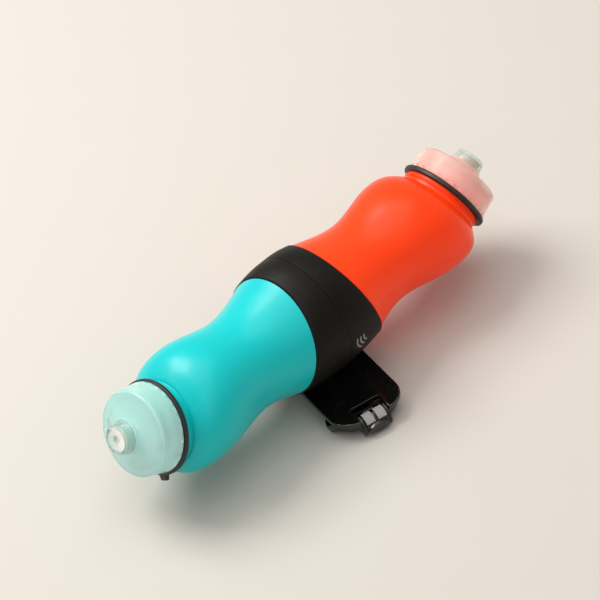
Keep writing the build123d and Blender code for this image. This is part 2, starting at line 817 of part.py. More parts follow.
# ---- lay it down: the clip's jaw flat on Z = 0, the whole centred on the origin ----
boxes = [piece.bounding_box() for piece in pieces.values()]
middle_x = (min(box.min.X for box in boxes) + max(box.max.X for box in boxes)) / 2
middle_y = (min(box.min.Y for box in boxes) + max(box.max.Y for box in boxes)) / 2
lowest = min(box.min.Z for box in boxes)
resting = Pos(-middle_x, -middle_y, -lowest)

for name, piece in pieces.items():
    part = piece.moved(resting)
    part.label = name
    export_step(part, "parts/" + name + ".step")
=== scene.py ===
import json
import math

import bmesh
import bpy
import numpy as np
from bpy.props import FloatProperty, FloatVectorProperty, IntProperty, PointerProperty
from mathutils import Matrix, Vector


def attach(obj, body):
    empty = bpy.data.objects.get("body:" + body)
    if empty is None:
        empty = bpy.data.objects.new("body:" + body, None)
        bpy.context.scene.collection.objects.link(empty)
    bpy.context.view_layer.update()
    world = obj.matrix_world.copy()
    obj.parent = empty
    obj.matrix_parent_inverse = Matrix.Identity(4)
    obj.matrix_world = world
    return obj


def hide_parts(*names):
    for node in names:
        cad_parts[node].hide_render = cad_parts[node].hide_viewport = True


bl_info = {
    "name": "Two-chamber squeeze bottle",
    "version": (1, 0, 0),
    "blender": (4, 5, 0),
    "location": "3D View > Sidebar > Bottle",
    "description": "Builds the looks of a two-chamber squeeze bottle with a belt clip",
    "category": "Object",
}

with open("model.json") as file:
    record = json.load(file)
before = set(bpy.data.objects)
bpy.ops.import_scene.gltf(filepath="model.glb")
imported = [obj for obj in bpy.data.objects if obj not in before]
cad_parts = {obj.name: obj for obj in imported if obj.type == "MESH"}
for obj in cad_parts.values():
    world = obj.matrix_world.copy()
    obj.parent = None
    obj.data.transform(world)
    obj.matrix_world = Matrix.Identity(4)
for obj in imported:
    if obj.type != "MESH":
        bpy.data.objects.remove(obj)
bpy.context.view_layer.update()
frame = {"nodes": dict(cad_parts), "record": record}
MM = 0.001
JOINTS = {j["name"]: j for j in frame["record"]["behaviour"]["joints"]}


# ---- the bottle's own axes, read from the joints: X along the bottle, Z up from the clip ----
NECK_LEAN = math.radians(22.0)
SWIVEL_DEPTH = 33.0
SWIVEL_OFFSET = 2.5


def bottle_axes():
    """The matrix from the bottle's own axes to the frame's, for the orange half."""
    up = Vector(JOINTS["clip_swivel"]["axis"]).normalized()
    neck = Vector(JOINTS["cap_turn_orange"]["axis"]).normalized()
    along = ((neck - up * math.sin(NECK_LEAN)) / math.cos(NECK_LEAN)).normalized()
    across = up.cross(along)
    pivot = Vector(JOINTS["clip_swivel"]["pos_m"])
    centre = pivot - along * SWIVEL_OFFSET * MM + up * SWIVEL_DEPTH * MM
    axes = Matrix((along, across, up)).transposed().to_4x4()
    return Matrix.Translation(centre) @ axes


ORANGE = bottle_axes()
HALVES = {"orange": ORANGE, "teal": ORANGE @ Matrix.Rotation(math.pi, 4, "Z")}
NECK = Matrix.Translation(Vector((107.0, 0.0, 4.3)) * MM) @ Matrix.Rotation(
    math.pi / 2 - NECK_LEAN, 4, "Y"
)


# ---- sizes and colours that a user would change ----
class BottleShapeSettings(bpy.types.PropertyGroup):
    segments: IntProperty(
        name="Segments", description="Corners round each turned shell", default=96, min=24
    )
    body_rings: IntProperty(
        name="Body rings", description="Rings along the wavy wall of a flask", default=44, min=8
    )
    edge_softness: FloatProperty(
        name="Edge softness",
        description="Width of the bevel on moulded edges",
        default=0.00025,
        unit="LENGTH",
    )
    mark_height: FloatProperty(
        name="Mark height",
        description="How far the printed wave mark stands off the band",
        default=0.00006,
        unit="LENGTH",
    )
    mark_length: FloatProperty(
        name="Mark length",
        description="Length of the longest wave in the mark",
        default=0.011,
        unit="LENGTH",
    )


class BottleFinishSettings(bpy.types.PropertyGroup):
    teal: FloatVectorProperty(
        name="Teal", description="Colour of the teal flask", subtype="COLOR", size=3,
        default=(0.0, 0.50, 0.51),
    )
    orange: FloatVectorProperty(
        name="Orange", description="Colour of the orange flask", subtype="COLOR", size=3,
        default=(0.98, 0.040, 0.0),
    )
    band: FloatVectorProperty(
        name="Band", description="Colour of the band", subtype="COLOR", size=3,
        default=(0.0065, 0.0058, 0.0042),
    )
    clip: FloatVectorProperty(
        name="Clip", description="Colour of the belt clip", subtype="COLOR", size=3,
        default=(0.0015, 0.0012, 0.001),
    )
    pads: FloatVectorProperty(
        name="Pads", description="Colour of the latch's pads", subtype="COLOR", size=3,
        default=(0.33, 0.325, 0.31),
    )
    floor: FloatVectorProperty(
        name="Floor", description="Colour of the floor", subtype="COLOR", size=3,
        default=(0.580, 0.545, 0.500),
    )


# ---- shader node groups ----
DUST = (0.5, 0.48, 0.45, 1.0)  # colour of specks and scratches


def new_group(name, inputs, outputs):
    """An empty shader node group with float inputs (name, value) and (name, kind) outputs."""
    tree = bpy.data.node_groups.new(name, "ShaderNodeTree")
    tree.interface.new_socket("Vector", in_out="INPUT", socket_type="NodeSocketVector")
    for label, value in inputs:
        socket = tree.interface.new_socket(label, in_out="INPUT", socket_type="NodeSocketFloat")
        socket.default_value = value
    for label, kind in outputs:
        tree.interface.new_socket(label, in_out="OUTPUT", socket_type=kind)
    return tree, tree.nodes.new("NodeGroupInput"), tree.nodes.new("NodeGroupOutput")


def noise_node(tree, vector, scale, detail=3.0, rough=0.5):
    """A noise texture's grey output; the scale is a number or a socket."""
    node = tree.nodes.new("ShaderNodeTexNoise")
    node.inputs["Detail"].default_value = detail
    node.inputs["Roughness"].default_value = rough
    if isinstance(scale, (int, float)):
        node.inputs["Scale"].default_value = scale
    else:
        tree.links.new(scale, node.inputs["Scale"])
    tree.links.new(vector, node.inputs["Vector"])
    return node.outputs["Fac"]


def math_node(tree, operation, first, second):
    """The result of one operation on two values, each a number or a socket."""
    node = tree.nodes.new("ShaderNodeMath")
    node.operation = operation
    for slot, value in enumerate((first, second)):
        if isinstance(value, (int, float)):
            node.inputs[slot].default_value = value
        else:
            tree.links.new(value, node.inputs[slot])
    return node.outputs[0]


def ranged(tree, value, low, high, to_low, to_high):
    """A socket's range low to high carried to another range, and clamped."""
    node = tree.nodes.new("ShaderNodeMapRange")
    limits = (("From Min", low), ("From Max", high), ("To Min", to_low), ("To Max", to_high))
    for label, number in limits:
        node.inputs[label].default_value = number
    tree.links.new(value, node.inputs["Value"])
    return node.outputs["Result"]


def moulded_grain_group():
    """Fine moulded grain over slow waves of the wall: a height and a roughness shift."""
    tree, start, end = new_group(
        "Moulded grain",
        [("Grain scale", 2600.0), ("Wave scale", 26.0), ("Wave share", 0.3)],
        [("Height", "NodeSocketFloat"), ("Roughness shift", "NodeSocketFloat")],
    )
    vector = start.outputs["Vector"]
    grain = noise_node(tree, vector, start.outputs["Grain scale"], 2.0)
    wave = noise_node(tree, vector, start.outputs["Wave scale"], 1.0)
    share = math_node(tree, "MULTIPLY", wave, start.outputs["Wave share"])
    tree.links.new(math_node(tree, "ADD", grain, share), end.inputs["Height"])
    patch = noise_node(tree, vector, 90.0, 4.0)
    tree.links.new(ranged(tree, patch, 0.3, 0.7, -0.5, 0.5), end.inputs["Roughness shift"])
    return tree


def handling_group():
    """Hairline scratches, smudges and specks of dust from handling, each as a mask."""
    tree, start, end = new_group(
        "Handling",
        [("Scratch amount", 0.5)],
        [("Scratches", "NodeSocketFloat"), ("Smudges", "NodeSocketFloat"), ("Dust", "NodeSocketFloat")],
    )
    vector = start.outputs["Vector"]
    stretch = tree.nodes.new("ShaderNodeMapping")
    stretch.inputs["Rotation"].default_value = (0.3, 0.5, 0.7)
    stretch.inputs["Scale"].default_value = (60.0, 1400.0, 900.0)
    tree.links.new(vector, stretch.inputs["Vector"])
    lines = noise_node(tree, stretch.outputs["Vector"], 1.0, 1.0)
    sparse = noise_node(tree, vector, 45.0, 2.0)
    thin = ranged(tree, lines, 0.68, 0.74, 0.0, 1.0)
    seldom = ranged(tree, sparse, 0.5, 0.62, 0.0, 1.0)
    scratch = math_node(tree, "MULTIPLY", thin, seldom)
    scratched = math_node(tree, "MULTIPLY", scratch, start.outputs["Scratch amount"])
    tree.links.new(scratched, end.inputs["Scratches"])
    smudge = noise_node(tree, vector, 38.0, 5.0, 0.62)
    tree.links.new(ranged(tree, smudge, 0.45, 0.72, 0.0, 1.0), end.inputs["Smudges"])
    specks = tree.nodes.new("ShaderNodeTexVoronoi")
    specks.inputs["Scale"].default_value = 420.0
    tree.links.new(vector, specks.inputs["Vector"])
    dots = ranged(tree, specks.outputs["Distance"], 0.05, 0.11, 1.0, 0.0)
    rare = ranged(tree, noise_node(tree, vector, 70.0, 2.0), 0.58, 0.66, 0.0, 1.0)
    tree.links.new(math_node(tree, "MULTIPLY", dots, rare), end.inputs["Dust"])
    return tree


def plastic(name, colour, roughness, **extra):
    """A moulded material: a base colour with slow tint changes, grain, smudges and scratches."""
    material = bpy.data.materials.new(name)
    material.use_nodes = True
    tree = material.node_tree
    shader = tree.nodes["Principled BSDF"]
    place = tree.nodes.new("ShaderNodeTexCoord").outputs["Object"]
    grain = tree.nodes.new("ShaderNodeGroup")
    grain.node_tree = bpy.data.node_groups["Moulded grain"]
    tree.links.new(place, grain.inputs["Vector"])
    grain.inputs["Grain scale"].default_value = extra.get("grain_scale", 2600.0)
    grain.inputs["Wave share"].default_value = extra.get("wave", 0.3)
    touch = tree.nodes.new("ShaderNodeGroup")
    touch.node_tree = bpy.data.node_groups["Handling"]
    tree.links.new(place, touch.inputs["Vector"])
    touch.inputs["Scratch amount"].default_value = extra.get("scratches", 0.4)
    # tint
    tint = noise_node(tree, place, extra.get("tint_scale", 22.0), 2.0)
    mix = tree.nodes.new("ShaderNodeMix")
    mix.data_type = "RGBA"
    light = extra.get("light", tuple(min(1.0, c * 1.12 + 0.004) for c in colour))
    mix.inputs["A"].default_value = (*colour, 1.0)
    mix.inputs["B"].default_value = (*light, 1.0)
    tree.links.new(ranged(tree, tint, 0.3, 0.7, 0.0, 1.0), mix.inputs["Factor"])
    dusty = tree.nodes.new("ShaderNodeMix")
    dusty.data_type = "RGBA"
    dusty.inputs["B"].default_value = DUST
    tree.links.new(mix.outputs["Result"], dusty.inputs["A"])
    marks = math_node(tree, "ADD", touch.outputs["Scratches"], touch.outputs["Dust"])
    shown = math_node(tree, "MULTIPLY", marks, extra.get("mark_share", 0.18))
    tree.links.new(shown, dusty.inputs["Factor"])
    tree.links.new(dusty.outputs["Result"], shader.inputs["Base Color"])
    # roughness
    shift = math_node(tree, "MULTIPLY", grain.outputs["Roughness shift"], roughness * 0.25)
    smudged = math_node(tree, "MULTIPLY", touch.outputs["Smudges"], extra.get("smudge", 0.05))
    rough = math_node(tree, "ADD", math_node(tree, "ADD", shift, smudged), roughness)
    tree.links.new(rough, shader.inputs["Roughness"])
    # relief
    bump = tree.nodes.new("ShaderNodeBump")
    bump.inputs["Strength"].default_value = extra.get("bump", 0.12)
    bump.inputs["Distance"].default_value = extra.get("bump_distance", 0.00004)
    tree.links.new(grain.outputs["Height"], bump.inputs["Height"])
    tree.links.new(bump.outputs["Normal"], shader.inputs["Normal"])
    for socket, value in extra.get("sockets", {}).items():
        shader.inputs[socket].default_value = value
    return material


# ---- modelling helpers ----
def alone(piece):
    """Select one object and nothing else."""
    bpy.ops.object.select_all(action="DESELECT")
    piece.select_set(True)
    bpy.context.view_layer.objects.active = piece


def settle(piece):
    """Move an object's place, turn and size into its mesh."""
    alone(piece)
    bpy.ops.object.transform_apply(location=True, rotation=True, scale=True)


def turned_shell(name, rings, closed=True, segments=None):
    """A shell bridged through circles, each ring (matrix, radius in millimetres)."""
    count = segments or bpy.context.scene.bottle_shape.segments
    bpy.ops.object.select_all(action="DESELECT")
    matrix, radius = rings[0]
    bpy.ops.mesh.primitive_circle_add(
        vertices=count, radius=radius * MM, location=matrix.translation, rotation=matrix.to_euler()
    )
    shell = bpy.context.object
    shell.name = name
    settle(shell)
    bpy.ops.object.mode_set(mode="EDIT")
    for matrix, radius in rings[1:]:
        bpy.ops.mesh.select_all(action="DESELECT")
        bpy.ops.mesh.primitive_circle_add(
            vertices=count, radius=radius * MM, location=matrix.translation, rotation=matrix.to_euler()
        )
    mesh = bmesh.from_edit_mesh(shell.data)
    mesh.verts.ensure_lookup_table()
    total = len(rings)
    pairs = [(i, i + 1) for i in range(total - 1)]
    if closed:
        pairs.append((total - 1, 0))
    hoops = []
    for index in range(total):
        corners = mesh.verts[index * count:(index + 1) * count]
        hoops.append({edge for corner in corners for edge in corner.link_edges})
    for first, second in pairs:
        bpy.ops.mesh.select_all(action="DESELECT")
        for edge in hoops[first] | hoops[second]:
            edge.select_set(True)
        bmesh.update_edit_mesh(shell.data)
        bpy.ops.mesh.bridge_edge_loops()
        mesh = bmesh.from_edit_mesh(shell.data)
    if not closed:
        for index in (0, total - 1):
            bpy.ops.mesh.select_all(action="DESELECT")
            for edge in hoops[index]:
                edge.select_set(True)
            bmesh.update_edit_mesh(shell.data)
            bpy.ops.mesh.edge_face_add()
    bpy.ops.mesh.select_all(action="SELECT")
    bpy.ops.mesh.normals_make_consistent(inside=False)
    bpy.ops.object.mode_set(mode="OBJECT")
    return shell


def apply_modifier(piece, kind, **values):
    """Add a modifier, set its values and apply it."""
    alone(piece)
    modifier = piece.modifiers.new(kind.title(), kind)
    for key, value in values.items():
        setattr(modifier, key, value)
    bpy.ops.object.modifier_apply(modifier=modifier.name)


def soften(piece, width, angle=35.0, segments=2):
    """Bevel the sharp edges and smooth the rest."""
    if width:
        apply_modifier(
            piece, "BEVEL", width=width, segments=segments, limit_method="ANGLE",
            angle_limit=math.radians(angle), harden_normals=False, use_clamp_overlap=True,
        )
    alone(piece)
    bpy.ops.object.shade_smooth_by_angle(angle=math.radians(angle))


def place(piece, matrix):
    """Carry a finished shape from the bottle's own axes to the frame."""
    piece.matrix_world = matrix @ piece.matrix_world
    settle(piece)
    return piece


def join(pieces):
    """Make one object of several; the first keeps its name."""
    bpy.ops.object.select_all(action="DESELECT")
    for piece in pieces:
        piece.select_set(True)
    bpy.context.view_layer.objects.active = pieces[0]
    bpy.ops.object.join()
    return pieces[0]


def paint(piece, material):
    """Give a piece one material."""
    piece.data.materials.clear()
    piece.data.materials.append(material)


def finished_copy(node, name, width, material, body):
    """A cleaned copy of a CAD node with softened edges, which stands for it."""
    source = frame["nodes"][node]
    piece = source.copy()
    piece.data = source.data.copy()
    bpy.context.scene.collection.objects.link(piece)
    piece.parent = None
    piece.matrix_world = Matrix.Identity(4)
    piece.name = name
    alone(piece)
    bpy.ops.object.mode_set(mode="EDIT")
    bpy.ops.mesh.select_all(action="SELECT")
    bpy.ops.mesh.customdata_custom_splitnormals_clear()
    bpy.ops.mesh.remove_doubles(threshold=0.000002)
    bpy.ops.mesh.dissolve_limited(angle_limit=math.radians(0.6))
    bpy.ops.object.mode_set(mode="OBJECT")
    soften(piece, width)
    paint(piece, material)
    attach(piece, body)
    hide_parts(node)
    return piece


# ---- sections of the flask and the neck, in millimetres and degrees ----
MOUTH = 22.6  # the band's mouth, from the bottle's middle
MOUTH_LEAN = 15.0
CAP_SIDES = 112  # four to each notch of the cap's rim
BAND_FLAT = -31.0  # the flat under the band, where the clip turns
FLASK_STATIONS = [
    (22.6, 0.8, 15.0, 32.15),
    (48.0, 0.4, 11.0, 26.3),
    (85.5, 0.7, 19.0, 31.9),
    (95.3, 1.3, 21.0, 29.4),
    (101.16, 1.94, 22.0, 23.6),
]


def section(distance, rise, tilt, radius):
    """A ring across the bottle, leaning up by the tilt."""
    turn = Matrix.Rotation(math.pi / 2 - math.radians(tilt), 4, "Y")
    return Matrix.Translation(Vector((distance, 0.0, rise)) * MM) @ turn, radius


def neck_ring(height, radius):
    """A ring about the neck, at a height from the middle of the rubber ring."""
    return NECK @ Matrix.Translation((0.0, 0.0, height * MM)), radius


def smooth_stations(stations, count):
    """Stations between the given ones, on a natural cubic spline over the chord length."""
    points = np.array(stations)
    steps = np.hypot(np.diff(points[:, 0]), np.diff(points[:, 3]))
    knots = np.concatenate([[0.0], np.cumsum(steps)])
    size = len(knots)
    system = np.zeros((size, size))
    right = np.zeros((size, 4))
    system[0, 0] = system[-1, -1] = 1.0
    gaps = np.diff(knots)
    for i in range(1, size - 1):
        system[i, i - 1:i + 2] = (gaps[i - 1], 2 * (gaps[i - 1] + gaps[i]), gaps[i])
        slope = (points[i + 1] - points[i]) / gaps[i] - (points[i] - points[i - 1]) / gaps[i - 1]
        right[i] = 6 * slope
    bend = np.linalg.solve(system, right)
    result = []
    for value in np.linspace(0.0, knots[-1], count):
        i = min(int(np.searchsorted(knots, value, side="right")) - 1, size - 2)
        a = (knots[i + 1] - value) / gaps[i]
        b = 1.0 - a
        cubic = (a ** 3 - a) * bend[i] + (b ** 3 - b) * bend[i + 1]
        result.append(a * points[i] + b * points[i + 1] + cubic * gaps[i] ** 2 / 6)
    return result


def helix_ridge(name, radius, tip, start, turns, base_width, tip_width):
    """A screw thread about the neck: a trapezoid carried round and up by a Screw modifier."""
    bpy.ops.object.select_all(action="DESELECT")
    middle = (radius + tip) / 2 * MM
    bpy.ops.mesh.primitive_plane_add(
        size=1.0, location=(middle, 0.0, start * MM), rotation=(math.pi / 2, 0.0, 0.0)
    )
    ridge = bpy.context.object
    ridge.name = name
    ridge.scale = (abs(tip - radius) * MM, base_width * MM, 1.0)
    settle(ridge)
    bpy.ops.object.mode_set(mode="EDIT")
    bpy.ops.mesh.select_all(action="DESELECT")
    mesh = bmesh.from_edit_mesh(ridge.data)
    for corner in mesh.verts:
        if abs(corner.co.x - tip * MM) < abs(corner.co.x - radius * MM):
            corner.select_set(True)
    mesh.select_flush(True)
    bmesh.update_edit_mesh(ridge.data)
    bpy.ops.transform.resize(
        value=(1.0, 1.0, tip_width / base_width), center_override=(0.0, 0.0, start * MM)
    )
    bpy.ops.mesh.select_all(action="SELECT")
    bpy.ops.mesh.delete(type="ONLY_FACE")
    bpy.ops.object.mode_set(mode="OBJECT")
    apply_modifier(
        ridge, "SCREW", axis="Z", angle=turns * 2 * math.pi, screw_offset=4.0 * turns * MM,
        steps=int(64 * turns), render_steps=int(64 * turns), use_merge_vertices=False,
        use_normal_calculate=True,
    )
    bpy.ops.object.mode_set(mode="EDIT")
    bpy.ops.mesh.select_all(action="SELECT")
    bpy.ops.mesh.fill_holes(sides=4)
    bpy.ops.mesh.normals_make_consistent(inside=False)
    bpy.ops.object.mode_set(mode="OBJECT")
    place(ridge, NECK)
    return ridge


# ---- operators ----
class BOTTLE_OT_finishes(bpy.types.Operator):
    """Make the node groups and the materials"""

    bl_idname = "bottle.finishes"
    bl_label = "Finishes"

    def execute(self, context):
        look = context.scene.bottle_finish
        moulded_grain_group()
        handling_group()
        teal = tuple(look.teal)
        orange = tuple(look.orange)
        soft = {
            "Coat Weight": 0.12, "Coat Roughness": 0.2, "Subsurface Weight": 0.25,
            "Subsurface Scale": 0.004, "IOR": 1.4, "Specular IOR Level": 0.35,
        }
        plastic(
            "Teal flask", teal, 0.34, wave=0.5, bump=0.10, light=(0.003, 0.56, 0.57),
            tint_scale=9.0, scratches=0.03, sockets={**soft, "Subsurface Radius": (0.2, 1.0, 1.0)},
        )
        plastic(
            "Orange flask", orange, 0.33, wave=0.5, bump=0.10, light=(1.0, 0.060, 0.002),
            tint_scale=9.0, scratches=0.03,
            sockets={
                # painted light: the emission makes the orange flask glow faintly, a painted glow that
                # brightens it beyond what the lamps give
                **soft, "Subsurface Radius": (1.0, 0.25, 0.08), "Emission Strength": 0.10,
                "Emission Color": (1.0, 0.03, 0.0, 1.0),
            },
        )
        plastic(
            "Band plastic", tuple(look.band), 0.46, grain_scale=1900.0, bump=0.35, mark_share=0.10,
            smudge=0.10, sockets={"IOR": 1.42, "Specular IOR Level": 0.16},
        )
        plastic(
            "Clip plastic", tuple(look.clip), 0.16, grain_scale=1500.0, bump=0.05, mark_share=0.16,
            smudge=0.06, scratches=0.1, sockets={"Coat Weight": 0.2, "Coat Roughness": 0.08},
        )
        plastic(
            "Pad rubber", tuple(look.pads), 0.78, grain_scale=1200.0, bump=0.7,
            bump_distance=0.0001, mark_share=0.3,
        )
        plastic(
            "Button plastic", (0.030, 0.028, 0.022), 0.5, grain_scale=1500.0, bump=0.4, mark_share=0.2,
        )
        plastic(
            "Ring rubber", (0.008, 0.008, 0.008), 0.42, grain_scale=1800.0, bump=0.4, mark_share=0.25,
            smudge=0.15,
        )
        plastic("Grip rubber", (0.02, 0.02, 0.02), 0.7, grain_scale=1500.0, bump=0.6)
        clear = {"teal": (0.62, 0.94, 0.89), "orange": (0.97, 0.69, 0.61)}
        for side, tint in clear.items():
            pale = tuple(1.0 - (1.0 - c) * 0.6 for c in tint)
            plastic(
                side.title() + " cap plastic", tint, 0.14, light=pale, wave=0.8, bump=0.10,
                mark_share=0.05, smudge=0.06,
                sockets={
                    "Transmission Weight": 0.66, "IOR": 1.26, "Coat Weight": 0.3,
                    # painted light: the emission in the cap's own tint is a painted glow, standing in
                    # for light shining through the plastic
                    "Coat Roughness": 0.08, "Emission Strength": 0.06,
                    "Emission Color": (*tint, 1.0),
                },
            )
        plastic(
            "Nozzle plastic", (0.76, 0.90, 0.84), 0.2, light=(0.84, 0.94, 0.90), wave=0.8, bump=0.12,
            mark_share=0.05, smudge=0.06,
            sockets={"Transmission Weight": 0.82, "IOR": 1.28, "Coat Weight": 0.2},
        )
        plastic(
            "Liner rubber", (0.88, 0.95, 0.94), 0.35, bump=0.3,
            sockets={"Transmission Weight": 0.85, "IOR": 1.15},
        )
        plastic("Cushion foam", (0.06, 0.06, 0.06), 0.85, grain_scale=700.0, bump=0.8)
        plastic("Washer plastic", (0.03, 0.03, 0.03), 0.55, bump=0.3)
        plastic(
            "Steel", (0.5, 0.5, 0.51), 0.3, grain_scale=3000.0, bump=0.15,
            sockets={"Metallic": 1.0},
        )
        plastic("Mark ink", (0.30, 0.29, 0.275), 0.55, grain_scale=1800.0, bump=0.3)
        return {"FINISHED"}


class BOTTLE_OT_flasks(bpy.types.Operator):
    """Model the two wavy flasks with their necks and threads"""

    bl_idname = "bottle.flasks"
    bl_label = "Flasks"

    def execute(self, context):
        count = context.scene.bottle_shape.body_rings
        outer = smooth_stations(FLASK_STATIONS, count)
        for side, matrix in HALVES.items():
            rings = [section(MOUTH - 4.8, -0.5, MOUTH_LEAN, r) for r in (4.0, 29.9)]
            rings.append(section(MOUTH - 4.4, -0.4, MOUTH_LEAN, 30.4))
            rings.append(section(MOUTH, 0.8, MOUTH_LEAN, 30.4))
            rings.append(section(MOUTH, 0.8, MOUTH_LEAN, 31.95))
            rings.append(section(22.8, 0.85, MOUTH_LEAN, 32.12))
            rings += [section(*station) for station in outer[1:]]
            neck = [
                (-6.15, 23.2), (-6.05, 22.3), (-5.8, 22.02), (-4.1, 22.0), (-3.65, 22.7),
                (-3.3, 22.82), (-2.9, 22.7), (-2.45, 22.0), (-1.3, 22.0), (-1.3, 21.2),
                (1.3, 21.2), (1.7, 19.8), (10.9, 19.8), (11.3, 19.55), (11.4, 19.2),
                (11.4, 17.7), (11.1, 17.4), (-7.9, 17.4), (-8.4, 20.6),
            ]
            rings += [neck_ring(height, radius) for height, radius in neck]
            inner = smooth_stations([
                (MOUTH + 1.6, 1.2, MOUTH_LEAN, 30.4), (48.0, 0.4, 11.0, 24.6),
                (85.5, 0.7, 19.0, 30.2), (94.3, 1.3, 21.0, 27.6), (98.6, 1.1, 22.0, 21.4),
            ], 14)
            rings += [section(*station) for station in reversed(inner)]
            rings.append(section(MOUTH - 3.2, -0.1, MOUTH_LEAN, 28.4))
            rings.append(section(MOUTH - 3.2, -0.1, MOUTH_LEAN, 4.0))
            shell = turned_shell(side + "_flask", rings)
            ridge = helix_ridge(side + "_flask_thread", 19.7, 20.9, 2.9, 1.5, 1.7, 0.9)
            piece = join([shell, ridge])
            place(piece, matrix)
            soften(piece, 0.0, 32.0)
            paint(piece, bpy.data.materials[side.title() + " flask"])
            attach(piece, "bottle")
            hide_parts("flask_" + side)
        return {"FINISHED"}


class BOTTLE_OT_caps(bpy.types.Operator):
    """Model the translucent screw caps, with threads, castellated rims and nozzle spigots"""

    bl_idname = "bottle.caps"
    bl_label = "Caps"

    def execute(self, context):
        profile = [
            (1.6, 21.3), (1.6, 23.6), (1.75, 23.85), (2.0, 23.99), (2.15, 23.98), (3.0, 23.88),
            (5.5, 23.6), (8.0, 23.33), (10.5, 23.08), (13.4, 22.8), (13.9, 22.7), (14.4, 22.35),
            (14.8, 21.9), (15.0, 21.3), (15.9, 17.9), (16.8, 14.6), (17.7, 11.6), (18.45, 10.2),
            (18.6, 9.9), (18.8, 9.6), (19.7, 9.4), (19.85, 9.25), (19.9, 9.0), (19.9, 6.2),
            (23.1, 6.2), (23.2, 6.42), (23.6, 6.42), (23.9, 6.2), (23.9, 4.8), (16.8, 4.8),
            (15.6, 8.6), (14.2, 12.6), (12.7, 16.3), (12.4, 17.0), (12.4, 21.3),
        ]
        for side, matrix in HALVES.items():
            shell = turned_shell(
                side + "_cap", [neck_ring(h, r) for h, r in profile], segments=CAP_SIDES
            )
            self.cut_rim(shell)
            ridge = helix_ridge(side + "_cap_thread", 21.4, 20.1, 4.9, 1.25, 1.7, 0.9)
            stopper = turned_shell(
                side + "_stopper",
                [neck_ring(h, r) for h, r in ((16.8, 2.4), (16.8, 2.7), (24.0, 2.7), (24.19, 2.5))],
                closed=False, segments=32,
            )
            spokes = [self.spoke(angle) for angle in (90.0, 210.0, 330.0)]
            piece = join([shell, ridge, stopper, *spokes])
            place(piece, matrix)
            soften(piece, 0.0, 28.0)
            paint(piece, bpy.data.materials[side.title() + " cap plastic"])
            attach(piece, "cap_" + side)
            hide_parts("cap_" + side)
        return {"FINISHED"}

    def cut_rim(self, shell):
        """Press a row of short notches into the lower rim."""
        alone(shell)
        bpy.ops.object.mode_set(mode="EDIT")
        bpy.ops.mesh.select_all(action="DESELECT")
        mesh = bmesh.from_edit_mesh(shell.data)
        back = NECK.inverted()
        for face in mesh.faces:
            middle = back @ face.calc_center_median()
            height = middle.z / MM
            radius = math.hypot(middle.x, middle.y) / MM
            if 2.1 < height < 3.0 and radius > 23.0:
                step = int((math.atan2(middle.y, middle.x) / (2 * math.pi) % 1.0) * CAP_SIDES)
                face.select_set(step % 4 < 2)
        bmesh.update_edit_mesh(shell.data)
        bpy.ops.mesh.extrude_region_shrink_fatten(
            TRANSFORM_OT_shrink_fatten={"value": -0.0008, "use_even_offset": False}
        )
        bpy.ops.object.mode_set(mode="OBJECT")

    def spoke(self, angle):
        """One of the three bars that carry the stopper inside the spigot."""
        bpy.ops.object.select_all(action="DESELECT")
        bpy.ops.mesh.primitive_cube_add(size=1.0, location=(3.6 * MM, 0.0, 17.5 * MM))
        bar = bpy.context.object
        bar.scale = (2.4 * MM, 1.2 * MM, 1.4 * MM)
        settle(bar)
        apply_modifier(bar, "BEVEL", width=0.0002, segments=2)
        bar.matrix_world = NECK @ Matrix.Rotation(math.radians(angle), 4, "Z")
        settle(bar)
        return bar


class BOTTLE_OT_nozzles(bpy.types.Operator):
    """Model the pull nozzles"""

    bl_idname = "bottle.nozzles"
    bl_label = "Nozzles"

    def execute(self, context):
        profile = [
            (19.96, 6.26), (19.96, 8.35), (20.06, 8.55), (20.3, 8.6), (22.0, 8.3), (24.0, 7.92),
            (25.3, 7.68), (25.65, 7.55), (25.86, 7.3), (25.95, 6.95), (25.9, 6.6), (25.7, 6.3),
            (25.45, 6.05), (25.36, 5.7), (25.36, 2.5), (25.25, 2.25), (25.1, 2.2), (24.25, 2.2),
            (24.25, 6.48), (20.66, 6.48), (20.56, 6.26),
        ]
        for side, matrix in HALVES.items():
            piece = turned_shell(
                side + "_nozzle", [neck_ring(h, r) for h, r in profile], segments=72
            )
            place(piece, matrix)
            soften(piece, 0.0, 40.0)
            paint(piece, bpy.data.materials["Nozzle plastic"])
            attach(piece, "nozzle_" + side)
            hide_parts("nozzle_" + side)
        return {"FINISHED"}


WAVE_STROKE = 0.0009  # width of a printed arc, in metres
WAVE_SPACING = 0.0026  # from one arc to the next


